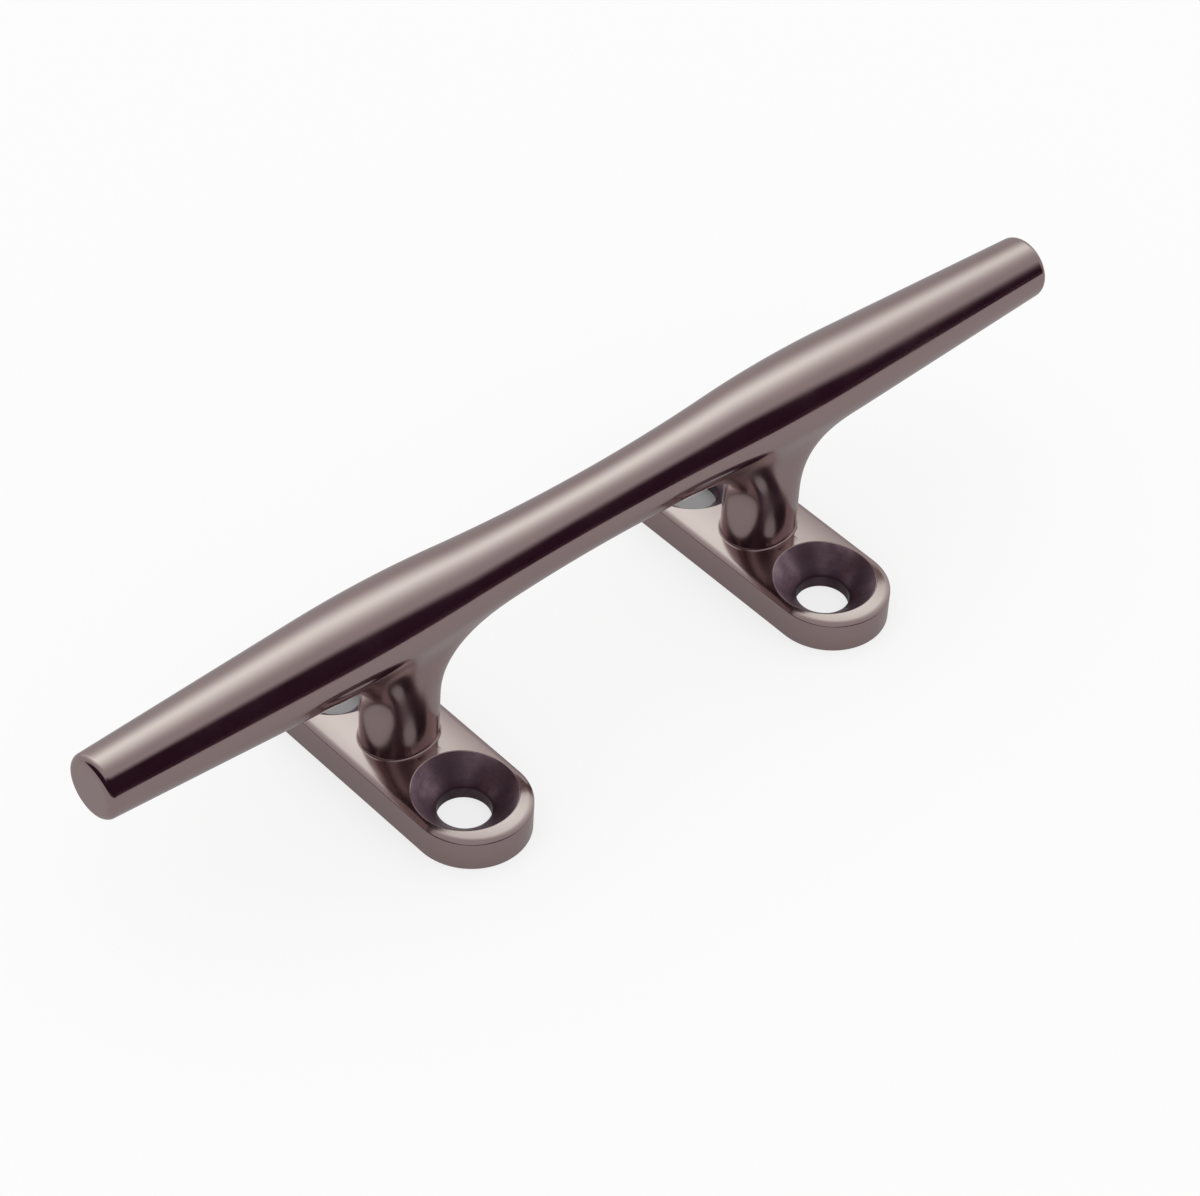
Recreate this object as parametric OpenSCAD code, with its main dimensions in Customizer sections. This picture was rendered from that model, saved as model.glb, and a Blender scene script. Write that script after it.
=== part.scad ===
// Open-base horn cleat: a turned horn bar on two flared legs, each standing on an oblong foot
// with two countersunk holes. The legs are let into the bar and the feet, and welded there.
// X runs along the bar, Y along the feet, Z up. The origin is on the deck, midway between the feet.

/* [Horn bar] */
// Length of the bar, tip to tip
horn_length = 152; // [130:1:200]
// Height of the bar's axis above the deck
horn_height = 24.8; // [23:0.1:32]
// Radius of the bar at its waist, midway between the legs
waist_radius = 4.5; // [4:0.1:5]
// Radius of the bar where it is thickest
swell_radius = 5.8; // [5.5:0.1:6.5]
// How far outboard of a leg's centre the bar is thickest
swell_outset = 5.3; // [3:0.1:10]
// Radius of the long rounding, along the bar, over its thickest place
swell_rounding = 180; // [80:5:200]
// Radius of the bar at its tips
tip_radius = 4.2; // [3:0.1:5]
// Radius of the rounded edge round a tip's flat end
tip_edge = 1; // [0.4:0.1:2]

/* [Legs] */
// Distance between the centres of the two legs, which is also that of the feet
leg_spacing = 60; // [50:1:80]
// Length of a leg's oval section along the bar
leg_length = 10.2; // [9:0.1:12]
// Width of a leg's oval section across the bar
leg_width = 8.6; // [7:0.1:9]
// Height above the deck at which a leg starts to flare along the bar
flare_start = 11.4; // [9:0.1:13]
// How deep the thin end of a flare sinks into the bar's underside
flare_bury = 0.12; // [0.05:0.01:0.3]
// Radius of the fillet round the root of a leg
root_fillet = 0.7; // [0.3:0.1:1.2]

/* [Feet] */
// Width of a foot along the bar
foot_width = 15.3; // [14:0.1:20]
// Length of a foot across the bar
foot_length = 42.6; // [40:0.1:60]
// Thickness of a foot
foot_thickness = 5; // [4:0.1:6]
// Radius of the rounded top edge of a foot
foot_edge = 0.8; // [0.3:0.1:1.5]

/* [Screw holes] */
// Distance between the two holes of a foot, across the bar
hole_spacing = 25; // [24:0.1:30]
// Diameter of a screw hole
hole_diameter = 6.8; // [4:0.1:7]
// Diameter of a countersink at the top of the foot
countersink_diameter = 13.3; // [10:0.1:13.5]
// Depth of a countersink, which sets how steep its sides are
countersink_depth = 3.25; // [2:0.05:3.5]

/* [Joints] */
// Diameter of the blind hole in the bar that takes a leg's spigot
spigot_bore = 5; // [3:0.1:6]
// Metal left between the end of that hole and the bar's axis
spigot_stop = 0.5; // [0:0.1:2]
// Diameter of the hole in a foot that takes a leg's tenon
tenon_bore = 6; // [4:0.1:7]
// Radial clearance of a spigot or tenon in its hole
fit_clearance = 0.05; // [0.02:0.01:0.15]
// Gap left beyond the end of a spigot
end_gap = 0.3; // [0.1:0.1:1]

/* [Hidden] */
$fn = 96;
leg_x = leg_spacing / 2;
half_horn = horn_length / 2;

// The bar's outline from waist to taper: a hollow arc, a rounded arc over the swell, then a cone
swell_x = leg_x + swell_outset;
waist_drop = swell_radius - waist_radius;
arcs_sum = (pow(swell_x, 2) + pow(waist_drop, 2)) / (2 * waist_drop);
waist_arc = arcs_sum - swell_rounding;
arcs_meet_x = swell_x * waist_arc / arcs_sum;
swell_arc_y = swell_radius - swell_rounding;
tip_run = half_horn - swell_x;
tip_rise = tip_radius - swell_arc_y;
taper_angle = atan2(tip_rise, tip_run) + acos(swell_rounding / norm([tip_run, tip_rise]));
taper_x = swell_x + swell_rounding * cos(taper_angle);
taper_radius = swell_arc_y + swell_rounding * sin(taper_angle);
taper_slope = (tip_radius - taper_radius) / (half_horn - taper_x);
outline_steps = 16;
edge_steps = 8;

// A leg's oval section: two round noses, nose_offset either side of its middle
nose_radius = leg_width / 2;
nose_offset = leg_length / 2 - nose_radius;
half_width = foot_width / 2;
foot_round_y = foot_length / 2 - half_width;
countersink_land = foot_thickness - countersink_depth;
overlap = 0.5;

// Radius of the bar at a distance x from its middle
function horn_radius(x) =
    let (ax = abs(x))
    ax < arcs_meet_x ? waist_radius + waist_arc - sqrt(pow(waist_arc, 2) - pow(ax, 2)) :
    ax < taper_x ? swell_arc_y + sqrt(pow(swell_rounding, 2) - pow(ax - swell_x, 2)) :
    taper_radius + taper_slope * (ax - taper_x);

// Height of the bar's underside at x
function horn_underside(x) = horn_height - horn_radius(x);

// Radius of the flare on one side of the leg at +X, so that its end just sinks into the bar.
// side is 1 towards the tip and -1 towards the waist.
function flare_radius(side) =
    let (first = horn_underside(leg_x) - flare_start)
    let (reach = nose_offset + nose_radius + first)
    horn_underside(leg_x + side * reach) + flare_bury - flare_start;

// Half of the bar's outline, from its middle to the edge of the flat tip, as [radius, x]
function half_outline() = concat(
    [for (i = [0 : outline_steps]) let (x = arcs_meet_x * i / outline_steps) [horn_radius(x), x]],
    [for (i = [1 : outline_steps])
        let (x = arcs_meet_x + (taper_x - arcs_meet_x) * i / outline_steps)
        [horn_radius(x), x]],
    [for (i = [0 : edge_steps])
        let (a = 90 * i / edge_steps)
        [horn_radius(half_horn - tip_edge) - tip_edge * (1 - cos(a)),
         half_horn - tip_edge * (1 - sin(a))]]
);

module half_bar() {
    rotate_extrude()
        polygon(concat([[0, 0]], half_outline(), [[0, half_horn]]));
}

// The whole bar with no holes in it, in its place
module solid_bar() {
    translate([0, 0, horn_height])
        for (turn = [90, -90])
            rotate([0, turn, 0])
                half_bar();
}

module leg_section() {
    for (side = [-1, 1])
        translate([side * nose_offset, 0])
            circle(r = nose_radius);
    square([2 * nose_offset, leg_width], center = true);
}

// One flare: the leg's round nose bent through a quarter turn, from upright to level
module flare(side) {
    bend = flare_radius(side) + nose_radius;
    translate([side * (nose_offset + bend), 0, flare_start])
        rotate([90, 0, 0])
            rotate_extrude(angle = 90, start = side > 0 ? 90 : 0)
                translate([bend, 0])
                    circle(r = nose_radius);
}

// The web that fills the leg between its two flares, up to the bar's axis
module flare_web() {
    translate([0, nose_radius, flare_start])
        rotate([90, 0, 0])
            linear_extrude(height = leg_width)
                difference() {
                    inner = nose_offset + nose_radius + flare_radius(-1);
                    outer = nose_offset + nose_radius + flare_radius(1);
                    translate([-inner, -overlap])
                        square([inner + outer, horn_height - flare_start + overlap]);
                    for (side = [-1, 1]) {
                        bend = flare_radius(side) + nose_radius;
                        translate([side * (nose_offset + bend), 0])
                            circle(r = bend, $fn = 4 * $fn);
                        translate([side * (nose_offset + bend), -bend])
                            square(2 * bend, center = true);
                    }
                }
}

// Section of the fillet round a leg's root, standing on the foot, as [distance, height]
function root_outline() = concat(
    [[nose_radius - overlap, 0]],
    [for (i = [0 : edge_steps])
        let (a = 90 * i / edge_steps)
        [nose_radius + root_fillet * (1 - sin(a)), root_fillet * (1 - cos(a))]],
    [[nose_radius - overlap, root_fillet]]
);

// A hollow fillet round the root of a leg, on top of the foot
module root() {
    translate([0, 0, foot_thickness]) {
        for (side = [-1, 1])
            translate([side * nose_offset, 0, 0])
                rotate_extrude()
                    polygon(root_outline());
        for (turn = [0, 180])
            rotate([90, 0, 90 + turn])
                linear_extrude(height = 2 * nose_offset, center = true)
                    polygon(root_outline());
    }
}

// The leg at +X, about its own middle
module leg_body() {
    translate([0, 0, foot_thickness])
        linear_extrude(height = flare_start - foot_thickness)
            leg_section();
    root();
    for (side = [-1, 1])
        flare(side);
    flare_web();
}

module leg() {
    spigot_top = horn_height - spigot_stop - end_gap;
    difference() {
        translate([leg_x, 0, 0])
            leg_body();
        solid_bar();
    }
    translate([leg_x, 0, foot_thickness + overlap])
        cylinder(d = spigot_bore - 2 * fit_clearance, h = spigot_top - foot_thickness - overlap);
    translate([leg_x, 0, 0])
        cylinder(d = tenon_bore - 2 * fit_clearance, h = foot_thickness + overlap);
}

// Upright outline of half a foot's width, with its rounded top edge
module foot_edge_outline() {
    square([half_width, foot_thickness - foot_edge]);
    square([half_width - foot_edge, foot_thickness]);
    translate([half_width - foot_edge, foot_thickness - foot_edge])
        circle(r = foot_edge);
}

module foot_blank() {
    for (end = [-1, 1])
        translate([0, end * foot_round_y, 0])
            rotate_extrude()
                foot_edge_outline();
    for (turn = [0, 180])
        rotate([0, 0, turn])
            translate([0, foot_round_y, 0])
                rotate([90, 0, 0])
                    linear_extrude(height = 2 * foot_round_y)
                        foot_edge_outline();
}

module screw_hole() {
    translate([0, 0, -overlap])
        cylinder(d = hole_diameter, h = foot_thickness + 2 * overlap);
    translate([0, 0, countersink_land])
        cylinder(d1 = hole_diameter, d2 = countersink_diameter, h = countersink_depth);
    translate([0, 0, foot_thickness])
        cylinder(d = countersink_diameter, h = overlap);
}

// The foot at +X
module foot() {
    translate([leg_x, 0, 0])
        difference() {
            foot_blank();
            for (end = [-1, 1])
                translate([0, end * hole_spacing / 2, 0])
                    screw_hole();
            translate([0, 0, -overlap])
                cylinder(d = tenon_bore, h = foot_thickness + 2 * overlap);
        }
}

module horn_bar() {
    color([0.62, 0.56, 0.55])
        difference() {
            solid_bar();
            for (side = [-1, 1])
                translate([side * leg_x, 0, horn_height - swell_radius - overlap])
                    cylinder(d = spigot_bore, h = swell_radius + overlap - spigot_stop);
        }
}

module near_leg() {
    color([0.52, 0.46, 0.45])
        mirror([1, 0, 0])
            leg();
}

module far_leg() {
    color([0.52, 0.46, 0.45])
        leg();
}

module near_foot() {
    color([0.57, 0.5, 0.49])
        mirror([1, 0, 0])
            foot();
}

module far_foot() {
    color([0.57, 0.5, 0.49])
        foot();
}

horn_bar();
near_leg();
far_leg();
near_foot();
far_foot();
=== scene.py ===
import math

import bmesh
import bpy
from mathutils import Matrix, Vector


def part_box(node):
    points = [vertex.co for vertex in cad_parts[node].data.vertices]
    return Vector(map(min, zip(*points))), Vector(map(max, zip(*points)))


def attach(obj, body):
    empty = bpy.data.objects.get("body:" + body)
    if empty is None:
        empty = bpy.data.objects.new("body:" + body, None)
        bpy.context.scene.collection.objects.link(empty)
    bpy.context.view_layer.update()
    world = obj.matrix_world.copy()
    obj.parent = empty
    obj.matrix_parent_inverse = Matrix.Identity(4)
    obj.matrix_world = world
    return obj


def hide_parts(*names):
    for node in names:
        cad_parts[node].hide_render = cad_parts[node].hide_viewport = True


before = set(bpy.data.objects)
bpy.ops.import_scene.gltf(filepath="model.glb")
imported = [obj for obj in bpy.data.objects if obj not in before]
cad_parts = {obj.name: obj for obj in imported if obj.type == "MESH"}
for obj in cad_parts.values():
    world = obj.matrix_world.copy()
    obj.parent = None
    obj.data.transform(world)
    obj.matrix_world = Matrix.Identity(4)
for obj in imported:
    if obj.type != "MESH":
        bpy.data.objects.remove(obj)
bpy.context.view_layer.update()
mm = 0.001
mergeGap = 0.0005 * mm         # points closer than this are one point

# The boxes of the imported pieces, which everything below is placed from
barLow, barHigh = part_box("horn_bar")
footLow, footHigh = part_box("far_foot")
footX = (footLow.x + footHigh.x) / 2


# Shaping: pieces are pulled out ring by ring, and place says where each angle of a ring goes

def ringEdges(verts):
    inRing = set(verts)
    edges = dict.fromkeys(e for v in verts for e in v.link_edges)
    return [e for e in edges if e.verts[0] in inRing and e.verts[1] in inRing]


def firstRing(bm, segments, place):
    # a new circle, whose points remember the angle that they stand at
    turn = bm.verts.layers.float.get("turn") or bm.verts.layers.float.new("turn")
    ring = bmesh.ops.create_circle(bm, segments=segments, radius=1.0)["verts"]
    for v in ring:
        v[turn] = math.atan2(v.co.y, v.co.x)
        v.co = place(v[turn])
    return ring


def nextRing(bm, verts, place):
    # the next ring, pulled out of the last one
    geom = bmesh.ops.extrude_edge_only(bm, edges=ringEdges(verts))["geom"]
    new = [g for g in geom if isinstance(g, bmesh.types.BMVert)]
    turn = bm.verts.layers.float["turn"]
    for v in new:
        v.co = place(v[turn])
    return new


def closeRing(bm, ring):
    bmesh.ops.contextual_create(bm, geom=ringEdges(ring))


def circleAt(centre, radius, z, y=0.0):
    # the place of each angle on a level circle, y along from the centre
    return lambda a: centre + Vector((radius * math.cos(a), y + radius * math.sin(a), z))


def finishPiece(bm, name, node, materials):
    bmesh.ops.remove_doubles(bm, verts=bm.verts, dist=mergeGap)
    bmesh.ops.recalc_face_normals(bm, faces=bm.faces)
    for f in bm.faces:
        f.smooth = True
    mesh = bpy.data.meshes.new(name)
    bm.to_mesh(mesh)
    bm.free()
    for material in materials:
        mesh.materials.append(material)
    piece = bpy.data.objects.new(name, mesh)
    bpy.context.scene.collection.objects.link(piece)
    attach(piece, "root")
    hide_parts(node)
    return piece


# Nodes and finishes

def addNode(tree, kind, **values):
    # each value is a setting of the node or the number on one of its sockets
    node = tree.nodes.new(kind)
    for key, value in values.items():
        if hasattr(node, key):
            setattr(node, key, value)
        else:
            node.inputs[key].default_value = value
    return node


def maths(tree, operation, *values):
    # a Math node fed with sockets or plain numbers
    node = addNode(tree, "ShaderNodeMath", operation=operation)
    for i, value in enumerate(values):
        if isinstance(value, bpy.types.NodeSocket):
            tree.links.new(value, node.inputs[i])
        else:
            node.inputs[i].default_value = value
    return node.outputs["Value"]


def mapRange(tree, value, low, high, toLow, toHigh, kind="LINEAR"):
    node = addNode(tree, "ShaderNodeMapRange", interpolation_type=kind)
    tree.links.new(value, node.inputs["Value"])
    limits = {"From Min": low, "From Max": high, "To Min": toLow, "To Max": toHigh}
    for key, limit in limits.items():
        node.inputs[key].default_value = limit
    return node.outputs["Result"]


def mixColours(tree, factor, first, second):
    node = addNode(tree, "ShaderNodeMix", data_type="RGBA")
    node.inputs["A"].default_value = first
    node.inputs["B"].default_value = second
    tree.links.new(factor, node.inputs["Factor"])
    return node.outputs["Result"]


def cloudNoise(tree, coords, scale, detail, roughness):
    node = addNode(tree, "ShaderNodeTexNoise", Scale=scale, Detail=detail, Roughness=roughness)
    tree.links.new(coords, node.inputs["Vector"])
    return node.outputs["Fac"]


def bumpNormal(tree, height, strength, depth):
    node = addNode(tree, "ShaderNodeBump", Strength=strength, Distance=depth)
    tree.links.new(height, node.inputs["Height"])
    return node.outputs["Normal"]


def objectCoords(tree):
    return addNode(tree, "ShaderNodeTexCoord").outputs["Object"]


def newFinish(name, values):
    # a material, and its shader with these values on its own sockets
    mat = bpy.data.materials.new(name)
    mat.use_nodes = True
    shader = mat.node_tree.nodes["Principled BSDF"]
    for key, value in values.items():
        shader.inputs[key].default_value = value
    return mat, shader


polish = {
    "tint": (0.458, 0.338, 0.350, 1),
    "warmTint": (0.485, 0.358, 0.345, 1),
    "cloudScale": 170,
    "cloudSpread": (0.3, 0.7),        # between these the gloss follows the clouds
    "barRoughness": (0.085, 0.15),
    "legRoughness": (0.15, 0.24),
    "footRoughness": (0.13, 0.20),
    "barLines": (60, 900, 900),       # how closely the polishing lines lie along x, y and z
    "legLines": (900, 900, 80),
    "footLines": (900, 60, 900),
    "lineScale": 6,
    "lineStrength": 0.035,
    "lineDepth": 0.02 * mm,
}


def polishedSteel(name, closeness, roughness):
    mat, shader = newFinish(name, {"Metallic": 1.0})
    tree = mat.node_tree
    link = tree.links.new
    coords = objectCoords(tree)
    # cloudy patches that the buffing left, in colour and in gloss
    clouds = cloudNoise(tree, coords, polish["cloudScale"], detail=3, roughness=0.55)
    link(mixColours(tree, clouds, polish["tint"], polish["warmTint"]), shader.inputs["Base Color"])
    link(mapRange(tree, clouds, *polish["cloudSpread"], *roughness), shader.inputs["Roughness"])
    # fine polishing lines, drawn out along the piece
    mapping = addNode(tree, "ShaderNodeMapping", Scale=closeness)
    link(coords, mapping.inputs["Vector"])
    lines = cloudNoise(tree, mapping.outputs["Vector"], polish["lineScale"],
                       detail=2, roughness=0.6)
    brushed = bumpNormal(tree, lines, polish["lineStrength"], polish["lineDepth"])
    link(brushed, shader.inputs["Normal"])
    return mat


# The bar

bar = {
    "axisHeight": (barLow.z + barHigh.z) / 2,
    "halfLength": barHigh.x,
    "swellRadius": (barHigh.z - barLow.z) / 2,
    "waistRadius": 4.5 * mm,
    "tipRadius": 4.2 * mm,
    "swellX": footX + 5.3 * mm,
    "swellRounding": 180 * mm,     # radius of the outline over the swell
    "tipEdge": 1.0 * mm,
    "stepsAlong": 110,
    "edgeSteps": 14,
    "segments": 180,
}


def barRadius(x):
    # hollow arc at the waist, long rounding over the swell, straight taper to the tip
    ax = abs(x)
    swellX, rounding = bar["swellX"], bar["swellRounding"]
    drop = bar["swellRadius"] - bar["waistRadius"]
    hollow = (swellX ** 2 + drop ** 2) / (2 * drop) - rounding
    meetX = swellX * hollow / (hollow + rounding)
    centreR = bar["swellRadius"] - rounding
    run, rise = bar["halfLength"] - swellX, bar["tipRadius"] - centreR
    turn = math.atan2(rise, run) + math.acos(rounding / math.hypot(run, rise))
    taperX = swellX + rounding * math.cos(turn)
    taperR = centreR + rounding * math.sin(turn)
    if ax < meetX:
        return bar["waistRadius"] + hollow - math.sqrt(hollow ** 2 - ax ** 2)
    if ax < taperX:
        return centreR + math.sqrt(rounding ** 2 - (ax - swellX) ** 2)
    return taperR + (bar["tipRadius"] - taperR) * (ax - taperX) / (bar["halfLength"] - taperX)


def makeBar():
    # half of the outline is spun, and mirrored at the waist
    bm = bmesh.new()
    end, edge, axis = bar["halfLength"], bar["tipEdge"], bar["axisHeight"]
    last = end - edge
    places = [last * i / bar["stepsAlong"] for i in range(bar["stepsAlong"] + 1)]
    outline = [(x, barRadius(x)) for x in places]
    flatR = barRadius(last) - edge
    for i in range(1, bar["edgeSteps"] + 1):
        a = math.radians(90 * i / bar["edgeSteps"])
        outline.append((last + edge * math.sin(a), flatR + edge * math.cos(a)))
    # a narrow ring next to the edge keeps the tip's shading flat
    outline += [(end, flatR * share) for share in (0.98, 0.5, 0.0)]
    verts = [bm.verts.new((x, 0, axis + r)) for x, r in outline]
    edges = [bm.edges.new(pair) for pair in zip(verts, verts[1:])]
    bmesh.ops.spin(bm, geom=verts + edges, cent=(0, 0, axis), axis=(1, 0, 0),
                   angle=2 * math.pi, steps=bar["segments"], use_merge=True)
    bmesh.ops.mirror(bm, geom=bm.verts[:] + bm.edges[:] + bm.faces[:], axis="X",
                     merge_dist=mergeGap)
    steel = polishedSteel("bar_polished_steel", polish["barLines"], polish["barRoughness"])
    finishPiece(bm, "bar_polished", "horn_bar", [steel])


# The feet

foot = {
    "x": footX,
    "halfWidth": (footHigh.x - footLow.x) / 2,
    "halfLength": footHigh.y,
    "thickness": footHigh.z,
    "bottomEdge": 0.15 * mm,
    "arris": 0.12 * mm,            # the small radius left between side and buffed rounding
    "edge": 1.5 * mm,              # radius of that rounding, which stops short of the side
    "edgeTilt": math.radians(32),  # how steep it is where it stops
    "edgeSteps": (4, 5, 10),       # rings in the bottom edge, the arris and the rounding
    "buffedRate": 1400,            # the top's fall over the cube of the way from its middle
    "buffedFrom": 0.3,             # share of the thickness that the fall leaves alone
    "topCuts": (20, 18),           # along each half, and across each round end, so that it can bend
    "holeY": 12.5 * mm,
    "holeRadius": 3.4 * mm,
    "rimRadius": 6.65 * mm,
    "sinkDepth": 3.25 * mm,
    "rimEdge": 0.2 * mm,           # softening of the rim, of the cone's lower end and of the hole's
    "coneEdge": 0.12 * mm,
    "holeEdge": 0.15 * mm,
    "holeRings": (8, 4, 6),        # rings in the rim, the cone and the hole's lower edge
    "flatRing": 0.05 * mm,         # flat strip that the top and underside start with
    "boreRadius": 3.0 * mm,
    "segments": 144,
    "holeSegments": 112,
    "boreSegments": 64,
}
drill = {
    "tint": (0.370, 0.255, 0.300, 1),
    "darkTint": (0.235, 0.150, 0.195, 1),
    "cloudScale": 330,
    "tintSpread": (0.38, 0.62),    # between these the colour follows the marks
    "roughness": (0.30, 0.46),
    "glossSpread": (0.35, 0.65),
    "wallPaintedShade": 0.35,              # painted shade: brightness of the hole's straight wall against its cone, darker where little light gets down the hole
    "wallShadeFade": (-0.1 * mm, 0.3 * mm),    # where that painted shade fades, from its upper end
    "turnedLines": 5200,           # how closely the drill's rings lie, in waves a metre
    "turnedShare": 0.15,           # of them in the colour, against cloudy patches
    "lineStrength": 0.12,
    "lineDepth": 0.02 * mm,
    "start": 0.15 * mm,            # how far under the top the drilled finish starts
}


def drilledSteel(name):
    # the bare, rougher finish that the drill and the countersink left, with painted shade on the
    # hole's straight wall
    mat, shader = newFinish(name, {"Metallic": 1.0})
    tree = mat.node_tree
    link = tree.links.new
    coords = objectCoords(tree)
    split = addNode(tree, "ShaderNodeSeparateXYZ")
    link(coords, split.inputs["Vector"])
    # all four holes are one hole once the signs are off
    x = maths(tree, "SUBTRACT", maths(tree, "ABSOLUTE", split.outputs["X"]), foot["x"])
    y = maths(tree, "SUBTRACT", maths(tree, "ABSOLUTE", split.outputs["Y"]), foot["holeY"])
    squares = maths(tree, "ADD", maths(tree, "MULTIPLY", x, x), maths(tree, "MULTIPLY", y, y))
    rings = addNode(tree, "ShaderNodeTexNoise", noise_dimensions="1D", Scale=drill["turnedLines"],
                    Detail=2, Roughness=0.7)
    link(maths(tree, "SQRT", squares), rings.inputs["W"])
    clouds = cloudNoise(tree, coords, drill["cloudScale"], detail=3, roughness=0.6)
    marks = maths(tree, "ADD", maths(tree, "MULTIPLY", clouds, 1 - drill["turnedShare"]),
                  maths(tree, "MULTIPLY", rings.outputs["Fac"], drill["turnedShare"]))
    tone = mapRange(tree, marks, *drill["tintSpread"], 0.0, 1.0)
    # painted shade: the hole's straight wall under the cone is darkened, as shade down the hole
    land = foot["thickness"] - foot["sinkDepth"]
    fadeLow, fadeHigh = drill["wallShadeFade"]
    wallShade = mapRange(tree, split.outputs["Z"], land + fadeLow, land + fadeHigh,
                    drill["wallPaintedShade"], 1.0)
    shade = addNode(tree, "ShaderNodeVectorMath", operation="SCALE")
    link(mixColours(tree, tone, drill["tint"], drill["darkTint"]), shade.inputs[0])
    link(wallShade, shade.inputs["Scale"])
    link(shade.outputs["Vector"], shader.inputs["Base Color"])
    gloss = mapRange(tree, marks, *drill["glossSpread"], *drill["roughness"])
    link(gloss, shader.inputs["Roughness"])
    turned = bumpNormal(tree, rings.outputs["Fac"], drill["lineStrength"], drill["lineDepth"])
    link(turned, shader.inputs["Normal"])
    return mat


def buffedDrop(x, y):
    # how far the top of a foot has fallen at a place, measured from the foot's own middle
    past = max(0.0, abs(y) - (foot["halfLength"] - foot["halfWidth"]))
    away = math.hypot(x, past) if past else abs(x)
    return foot["buffedRate"] * away ** 3


def footOutline(a, inset, z):
    # straight sides and round ends, moved in by inset
    half = foot["halfWidth"] - inset
    roundY = foot["halfLength"] - foot["halfWidth"]
    c, s = math.cos(a), math.sin(a)
    return Vector((half * c, half * s + math.copysign(roundY, s), z))


def footWall(bm, centre):
    # from the underside up to the flat of the top, as the edges of both and the top's half width
    top, edge, under = foot["thickness"], foot["edge"], foot["bottomEdge"]
    arris, tilt = foot["arris"], foot["edgeTilt"]
    underSteps, arrisSteps, edgeSteps = foot["edgeSteps"]
    sideTop = top - edge * (1 - math.cos(tilt)) - arris * math.cos(tilt)
    lip = arris * (1 - math.sin(tilt))
    halfStep = math.pi / foot["segments"]      # so that no point lies on the middle line

    def outline(inset, z):
        return lambda a: centre + footOutline(a + halfStep, inset, z)

    ring = firstRing(bm, foot["segments"], outline(under + foot["flatRing"], 0))
    bottomEdges = ringEdges(ring)
    for i in range(underSteps + 1):
        q = math.radians(90 * i / underSteps)
        ring = nextRing(bm, ring, outline(under * (1 - math.sin(q)), under * (1 - math.cos(q))))
    ring = nextRing(bm, ring, outline(0, sideTop))
    for i in range(1, arrisSteps + 1):
        q = math.pi / 2 + (tilt - math.pi / 2) * i / arrisSteps
        ring = nextRing(bm, ring, outline(arris * (1 - math.sin(q)), sideTop + arris * math.cos(q)))
    for i in range(1, edgeSteps + 1):
        q = tilt * (1 - i / edgeSteps)
        ring = nextRing(bm, ring, outline(lip + edge * (math.sin(tilt) - math.sin(q)),
                                          top - edge * (1 - math.cos(q))))
    return bottomEdges, ringEdges(ring), foot["halfWidth"] - lip - edge * math.sin(tilt)


def holeSteps():
    # radius and height of each ring of a hole, from the top of the foot down to its underside
    rim, hole, sink = foot["rimRadius"], foot["holeRadius"], foot["sinkDepth"]
    top, soft, edge = foot["thickness"], foot["rimEdge"], foot["holeEdge"]
    slope = math.atan2(sink, rim - hole)
    start = rim + soft * math.tan(slope / 2)
    rimSteps, coneSteps, edgeSteps = foot["holeRings"]
    steps = [(start + foot["flatRing"], top), (start, top)]
    for i in range(1, rimSteps + 1):
        q = slope * i / rimSteps
        steps.append((start - soft * math.sin(q), top - soft * (1 - math.cos(q))))
    r, z = steps[-1]
    low = foot["coneEdge"]
    for i in range(1, coneSteps + 1):
        part = i / coneSteps
        steps.append((r + (hole + low - r) * part, z + (top - sink + low - z) * part))
    # a soft corner between the cone and the straight wall
    steps += [(hole + 0.3 * low, top - sink), (hole, top - sink - low)]
    for i in range(edgeSteps + 1):
        q = math.radians(90 * i / edgeSteps)
        steps.append((hole + edge * (1 - math.cos(q)), edge * (1 - math.sin(q))))
    steps.append((hole + edge + foot["flatRing"], 0))
    return steps


def footHole(bm, centre, y):
    # one countersunk hole, as the edges at its top and bottom
    places = [circleAt(centre, r, z, y) for r, z in holeSteps()]
    ring = firstRing(bm, foot["holeSegments"], places[0])
    topEdges = ringEdges(ring)
    for place in places[1:]:
        ring = nextRing(bm, ring, place)
    return ringEdges(ring), topEdges


def footBore(bm, centre):
    # the bore that the leg's tenon fills
    radius, top = foot["boreRadius"], foot["thickness"]
    ring = firstRing(bm, foot["boreSegments"], circleAt(centre, radius, top))
    topEdges = ringEdges(ring)
    ring = nextRing(bm, ring, circleAt(centre, radius, 0))
    return ringEdges(ring), topEdges


def cutTop(bm, point, normal):
    # a cut across the flat top only, whose faces are level and at its full height
    level = foot["thickness"] - 0.001 * mm
    top = [f for f in bm.faces if f.normal.z > 0.999 and f.calc_center_median().z > level]
    edges = dict.fromkeys(e for f in top for e in f.edges)
    verts = dict.fromkeys(v for f in top for v in f.verts)
    bmesh.ops.bisect_plane(bm, geom=[*top, *edges, *verts], dist=0.0001 * mm,
                           plane_co=point, plane_no=normal)


def bendTop(bm, centre, reach):
    # cut the top up, then let every point sink by how far the buffing wore it there
    top, roundY = foot["thickness"], foot["halfLength"] - foot["halfWidth"]
    along, across = foot["topCuts"]
    for i in range(along):
        x = reach * (i + 0.5) / along
        for way in (-1, 1):
            cutTop(bm, centre + Vector((way * x, 0, top)), (1, 0, 0))
    for i in range(across):
        y = roundY + reach * i / across
        for way in (-1, 1):
            cutTop(bm, centre + Vector((0, way * y, top)), (0, 1, 0))
    fixed = foot["buffedFrom"] * top
    for v in bm.verts:
        if v.co.z > fixed:
            share = (v.co.z - fixed) / (top - fixed)
            v.co.z -= buffedDrop(v.co.x - centre.x, v.co.y) * share


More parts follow.
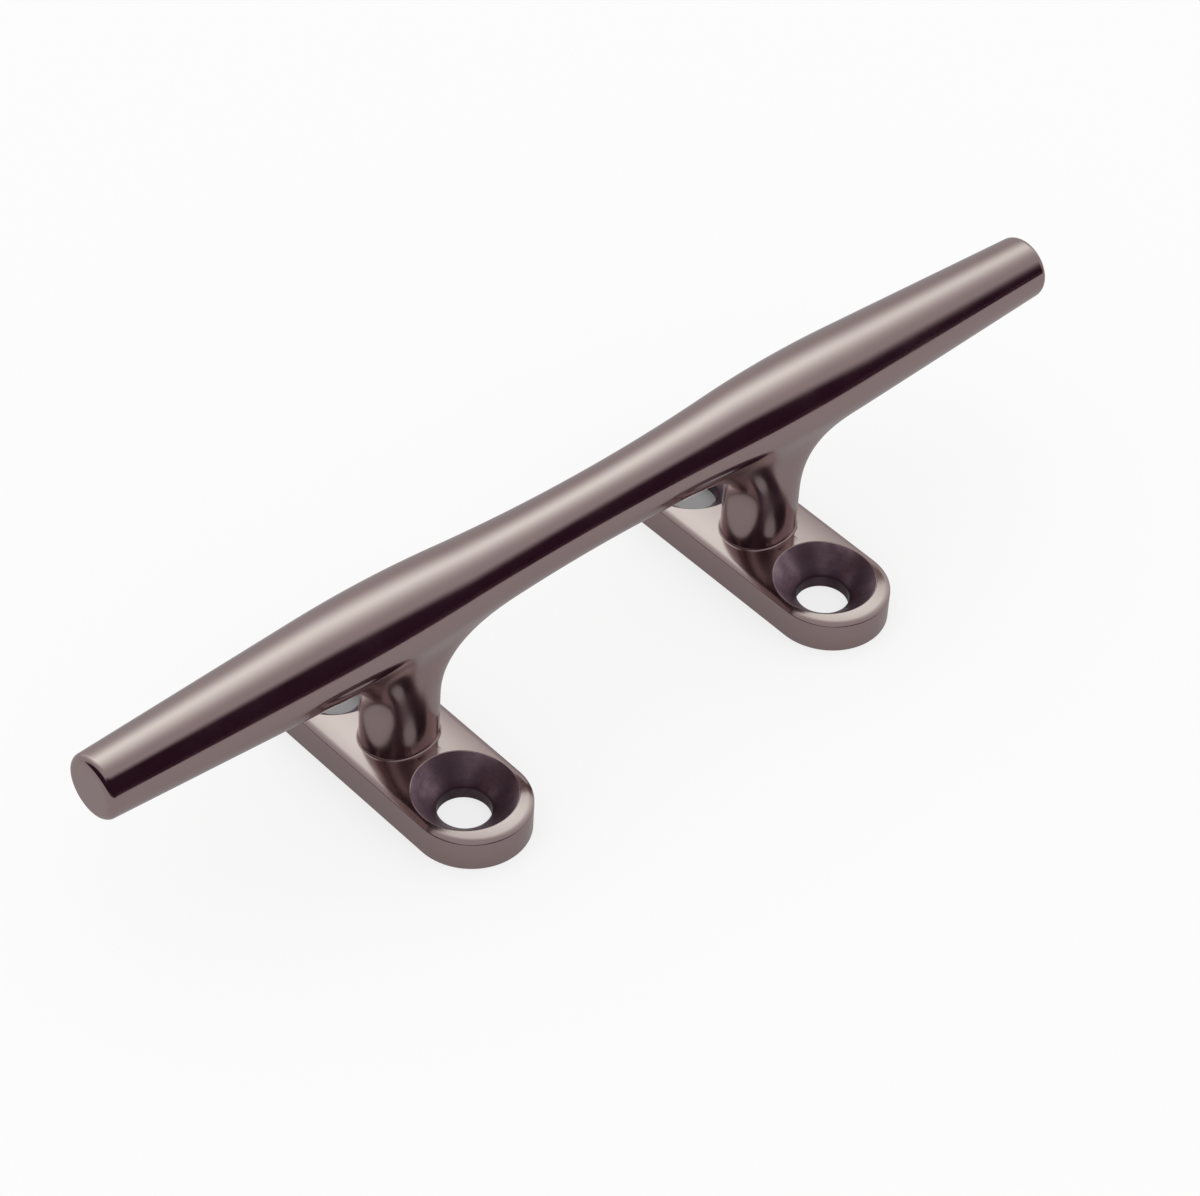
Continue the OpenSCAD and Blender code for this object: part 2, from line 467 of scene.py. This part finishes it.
def makeFoot(side, name, node):
    centre = Vector((side * foot["x"], 0, 0))
    top, hole = foot["thickness"], foot["holeY"]
    bm = bmesh.new()
    bottomLoops, topLoops, reach = footWall(bm, centre)
    for y in (-hole, hole):
        bottomEdges, topEdges = footHole(bm, centre, y)
        bottomLoops += bottomEdges
        topLoops += topEdges
    bottomEdges, topEdges = footBore(bm, centre)
    bmesh.ops.triangle_fill(bm, use_beauty=True, edges=topLoops + topEdges, normal=(0, 0, 1))
    bmesh.ops.triangle_fill(bm, use_beauty=True, edges=bottomLoops + bottomEdges, normal=(0, 0, -1))
    bmesh.ops.recalc_face_normals(bm, faces=bm.faces)
    bendTop(bm, centre, reach)
    # the walls of the holes have the drilled finish
    for f in bm.faces:
        at = f.calc_center_median()
        away = math.hypot(at.x - centre.x, abs(at.y) - hole)
        if away < foot["rimRadius"] - foot["rimEdge"] and 0.01 * mm < at.z < top - drill["start"]:
            f.material_index = 1
    finishPiece(bm, name, node, [footSteel, drilledWalls])


# The legs

leg = {
    "halfLength": 5.1 * mm,
    "halfWidth": 4.3 * mm,
    "squareness": 2.25,            # 2 is a plain ellipse, more fills the oval's corners out
    "rootFillet": 0.3 * mm,
    "flareStart": 9.9 * mm,
    "sideStart": 10.6 * mm,        # the blend into the bar starts higher at the leg's broad sides
    "flareReach": (13.4 * mm, 8.4 * mm),  # along the bar, inboard and outboard
    "sideWrap": math.radians(78),  # how far round the bar, from its underside, the blend climbs
    "landSpread": (0.8, 0.6),      # below 1 spreads the landing out, along the bar and round it
    "hold": (0.24, 0.18),          # how long the blend keeps upright, and then to the bar's surface
    "sink": 0.004 * mm,            # how far under that surface it ends
    "capInset": 1 * mm,            # of the lid inside the bar
    "tenonRadius": 2.95 * mm,
    "shoulder": 0.02 * mm,         # how far under the foot's top the tenon ends
    "filletSteps": 12,
    "columnSteps": 8,
    "flareSteps": 56,
    "segments": 160,
}


def legSection(a, grow=0.0):
    # oval section, pushed outwards by grow
    square = leg["squareness"]
    c, s = math.cos(a), math.sin(a)
    x = math.copysign(abs(c) ** (2 / square), c)
    y = math.copysign(abs(s) ** (2 / square), s)
    nx = math.copysign(abs(x) ** (square - 1), x) / leg["halfLength"]
    ny = math.copysign(abs(y) ** (square - 1), y) / leg["halfWidth"]
    out = Vector((nx, ny, 0)).normalized()
    return Vector((x * leg["halfLength"], y * leg["halfWidth"], 0)) + out * grow


def onBar(x, wrap):
    # a place just under the bar's surface, wrap round from its underside, with the directions
    # out of the surface, along the bar and round it
    r = barRadius(x) - leg["sink"]
    step = 0.1 * mm
    slope = (barRadius(x + step) - barRadius(x - step)) / (2 * step)
    c, s = math.cos(wrap), math.sin(wrap)
    land = Vector((x, r * s, bar["axisHeight"] - r * c))
    out = Vector((-slope, s, -c)).normalized()
    along = Vector((1, slope * s, -slope * c)).normalized()
    return land, out, along, Vector((0, c, s))


def flareCurve(start, middleX, x, wrap):
    # six control points: the curve leaves the column upright and unbent, and it meets the bar
    # in the direction and with the bend of the bar's surface, which takes the factor of 1.25
    r = barRadius(x)
    land, out, along, around = onBar(x, wrap)
    away = (along * (x - middleX) + around * wrap * r).normalized()
    bend = away.dot(around) ** 2 / r
    span = (land - start).length
    up, back = (share * span for share in leg["hold"])
    return [start, start + Vector((0, 0, up)), start + Vector((0, 0, 2 * up)),
            land - away * 2 * back - out * 1.25 * bend * back ** 2, land - away * back, land]


def makeLeg(side, name, node):
    centre = Vector((side * foot["x"], 0, 0))
    top, fillet = foot["thickness"], leg["rootFillet"]
    tenon, shoulder = leg["tenonRadius"], leg["shoulder"]

    def root(a, grow, z):
        p = legSection(a, grow)
        return centre + p + Vector((0, 0, z - buffedDrop(p.x, p.y)))

    def columnTop(a):
        start = leg["flareStart"] + (leg["sideStart"] - leg["flareStart"]) * math.sin(a) ** 2
        return centre + legSection(a) + Vector((0, 0, start))

    def flare(a, t):
        c, s = math.cos(a), math.sin(a)
        alongPower, roundPower = leg["landSpread"]
        reach = leg["flareReach"][1 if c * side > 0 else 0]
        x = centre.x + (leg["halfLength"] + reach) * math.copysign(abs(c) ** alongPower, c)
        wrap = leg["sideWrap"] * math.copysign(abs(s) ** roundPower, s)
        points = flareCurve(columnTop(a), centre.x, x, wrap)
        weights = [math.comb(5, k) * (1 - t) ** (5 - k) * t ** k for k in range(6)]
        return sum((p * w for p, w in zip(points, weights)), Vector())

    bm = bmesh.new()
    ring = firstRing(bm, leg["segments"], circleAt(centre, tenon, 0))
    closeRing(bm, ring)
    ring = nextRing(bm, ring, circleAt(centre, tenon, top - shoulder))
    ring = nextRing(bm, ring, lambda a: root(a, fillet, top - shoulder / 2))
    for i in range(1, leg["filletSteps"] + 1):
        q = math.radians(90 * i / leg["filletSteps"])
        ring = nextRing(bm, ring, lambda a: root(a, fillet * (1 - math.sin(q)),
                                                 top + fillet * (1 - math.cos(q))))
    for i in range(1, leg["columnSteps"] + 1):
        part = i / leg["columnSteps"]
        ring = nextRing(bm, ring, lambda a: root(a, 0, top + fillet).lerp(columnTop(a), part))
    for i in range(1, leg["flareSteps"] + 1):
        ring = nextRing(bm, ring, lambda a: flare(a, i / leg["flareSteps"]))
    inset = leg["capInset"]
    lid = Vector((0, 0, bar["axisHeight"] - inset))
    ring = nextRing(bm, ring, lambda a: centre + legSection(a, -inset) + lid)
    closeRing(bm, ring)
    finishPiece(bm, name, node, [legSteel])


print("making the bar")
makeBar()
print("making the legs")
legSteel = polishedSteel("leg_polished_steel", polish["legLines"], polish["legRoughness"])
makeLeg(-1, "near_leg_polished", "near_leg")
makeLeg(1, "far_leg_polished", "far_leg")
print("making the feet")
footSteel = polishedSteel("foot_polished_steel", polish["footLines"], polish["footRoughness"])
drilledWalls = drilledSteel("foot_drilled_steel")
makeFoot(-1, "near_foot_polished", "near_foot")
makeFoot(1, "far_foot_polished", "far_foot")


# The studio: a white room on a white floor, dark where its light ends, with a wide softbox

studio = {
    "floorSize": 6,
    "floorColour": 0.93,
    "floorShade": 0.50,               # its colour under the far ends of the feet, darkened there as painted shade
    "shadeHalf": 5 * mm,              # half the size of that patch, wholly under a foot
    "floorLift": 0.72,                # how much of the floor's white doesn't depend on the light
    "tableColour": (0.05, 0.02, 0.035, 1),
    "tableSize": 4,
    "tableEdge": -0.14,               # where the dark cloth before the object ends
    "tableLift": 0.5 * mm,
    "daylight": 1.0,                  # how bright it is for all but mirrors
    "mirrored": 0.475,                # how bright the white room looks in the metal
    "floorMirrored": 0.27,            # and the lifted white of the floor
    "dark": (0.065, 0.022, 0.050),    # the unlit back of the room, against that white
    "darkTurn": 0.8,                  # how soon it ends towards the sides
    "darkSpread": (-0.86, -0.60),     # full and none of it
    "glow": (2.6, 3.35, 3.05),        # added by the wide softbox above the far side
    "glowRise": (-0.05, 0.84),        # none and full of it, from overhead forwards
    "glowFall": (0.98, 0.53),         # none and full of it, from straight ahead upwards
    "glowSide": (0.92, 0.12),         # none and full of it, towards the sides
}
matte = {"Roughness": 1.0, "Specular IOR Level": 0.0}
camera = {
    "azimuth": math.radians(-43.91),
    "elevation": math.radians(43.33),
    "roll": math.radians(3.532),
    "distance": 552.56 * mm,
    "target": Vector((2.596, 0, 8.196)) * mm,
    "lens": 132.34,                   # millimetres, and so is the sensor's width
    "sensor": 36,
}


def stageSheet(name, size, location, material):
    bpy.ops.mesh.primitive_plane_add(size=size, location=location)
    sheet = bpy.context.object
    sheet.name = name
    sheet.data.materials.append(material)
    return sheet


def floorPaper():
    # white paper: it keeps the shadow, and is lifted to white where it is looked at or mirrored
    mat, shader = newFinish("floor_white", matte)
    tree = mat.node_tree
    link = tree.links.new
    path = addNode(tree, "ShaderNodeLightPath")
    seen = maths(tree, "MAXIMUM", path.outputs["Is Camera Ray"], path.outputs["Is Glossy Ray"])
    seen = maths(tree, "MAXIMUM", seen, path.outputs["Is Transmission Ray"])
    # under the far ends of the feet the paper is painted darker as shade, and it isn't lifted, so
    # its rendered shadow shows as well
    split = addNode(tree, "ShaderNodeSeparateXYZ")
    link(objectCoords(tree), split.inputs["Vector"])
    along = maths(tree, "SUBTRACT", maths(tree, "ABSOLUTE", split.outputs["X"]), foot["x"])
    across = maths(tree, "SUBTRACT", split.outputs["Y"], foot["holeY"])
    away = maths(tree, "MAXIMUM", maths(tree, "ABSOLUTE", along), maths(tree, "ABSOLUTE", across))
    under = maths(tree, "LESS_THAN", away, studio["shadeHalf"])
    link(mapRange(tree, under, 0, 1, studio["floorColour"], studio["floorShade"]),
         shader.inputs["Base Color"])
    glow = addNode(tree, "ShaderNodeEmission")
    link(mapRange(tree, path.outputs["Is Glossy Ray"], 0, 1, 1.0, studio["floorMirrored"]),
         glow.inputs["Strength"])
    mix = addNode(tree, "ShaderNodeMixShader")
    lift = mapRange(tree, under, 0, 1, studio["floorLift"], 0.0)
    link(maths(tree, "MULTIPLY", seen, lift), mix.inputs["Fac"])
    link(shader.outputs[0], mix.inputs[1])
    link(glow.outputs[0], mix.inputs[2])
    link(mix.outputs[0], tree.nodes["Material Output"].inputs["Surface"])
    return mat


def layFloor():
    stageSheet("floor", studio["floorSize"], (0, 0, 0), floorPaper())
    # the dark cloth shows in the metal only
    cloth, _ = newFinish("table_dark", {"Base Color": studio["tableColour"], **matte})
    y = studio["tableEdge"] - studio["tableSize"] / 2
    table = stageSheet("dark_table", studio["tableSize"], (0, y, studio["tableLift"]), cloth)
    table.visible_camera = False
    table.visible_diffuse = False
    table.visible_shadow = False
    table.visible_transmission = False


def makeCamera():
    az, el, roll = camera["azimuth"], camera["elevation"], camera["roll"]
    back = Vector((math.sin(az) * math.cos(el), -math.cos(az) * math.cos(el), math.sin(el)))
    right = Vector((math.cos(az), math.sin(az), 0))
    up = back.cross(right)
    x = right * math.cos(roll) + up * math.sin(roll)
    y = up * math.cos(roll) - right * math.sin(roll)
    cam = bpy.data.objects.new("camera", bpy.data.cameras.new("camera"))
    bpy.context.scene.collection.objects.link(cam)
    cam.data.sensor_width = camera["sensor"]
    cam.data.lens = camera["lens"]
    cam.data.clip_start = 0.01
    cam.matrix_world = (Matrix.Translation(camera["target"] + back * camera["distance"])
                        @ Matrix((x, y, back)).transposed().to_4x4())
    bpy.context.scene.camera = cam


def makeWorld():
    world = bpy.data.worlds.new("studio")
    bpy.context.scene.world = world
    world.use_nodes = True
    tree = world.node_tree
    tree.nodes.clear()
    link = tree.links.new
    direction = addNode(tree, "ShaderNodeTexCoord").outputs["Generated"]

    def towards(axis):
        dot = addNode(tree, "ShaderNodeVectorMath", operation="DOT_PRODUCT")
        dot.inputs[1].default_value = axis
        link(direction, dot.inputs[0])
        return dot.outputs["Value"]

    def fade(socket, limits, low=0.0, high=1.0):
        return mapRange(tree, socket, *limits, low, high, "SMOOTHSTEP")

    # the room keeps its place round the object, as the lamps of a studio do
    turn = camera["azimuth"]
    ahead = towards((-math.sin(turn), math.cos(turn), 0))
    side = maths(tree, "ABSOLUTE", towards((math.cos(turn), math.sin(turn), 0)))
    behind = maths(tree, "SUBTRACT", ahead, maths(tree, "MULTIPLY", side, studio["darkTurn"]))
    dark = fade(behind, studio["darkSpread"], 1, 0)
    room = mixColours(tree, dark, (1, 1, 1, 1), (*studio["dark"], 1))
    glow = maths(tree, "MULTIPLY", fade(ahead, studio["glowRise"]), fade(ahead, studio["glowFall"]))
    glow = maths(tree, "MULTIPLY", glow, fade(side, studio["glowSide"]))
    lit = addNode(tree, "ShaderNodeMix", data_type="RGBA", blend_type="ADD")
    lit.clamp_factor = False
    link(glow, lit.inputs["Factor"])
    link(room, lit.inputs["A"])
    lit.inputs["B"].default_value = (*studio["glow"], 1)
    mirrored = addNode(tree, "ShaderNodeBackground", Strength=studio["mirrored"])
    link(lit.outputs["Result"], mirrored.inputs["Color"])
    plain = addNode(tree, "ShaderNodeBackground", Strength=studio["daylight"])
    plain.inputs["Color"].default_value = (1, 1, 1, 1)
    path = addNode(tree, "ShaderNodeLightPath")
    mix = addNode(tree, "ShaderNodeMixShader")
    link(path.outputs["Is Glossy Ray"], mix.inputs["Fac"])
    link(plain.outputs[0], mix.inputs[1])
    link(mirrored.outputs[0], mix.inputs[2])
    out = addNode(tree, "ShaderNodeOutputWorld")
    link(mix.outputs[0], out.inputs["Surface"])


print("setting up the studio")
layFloor()
makeCamera()
makeWorld()
bpy.context.scene.view_settings.view_transform = "Standard"
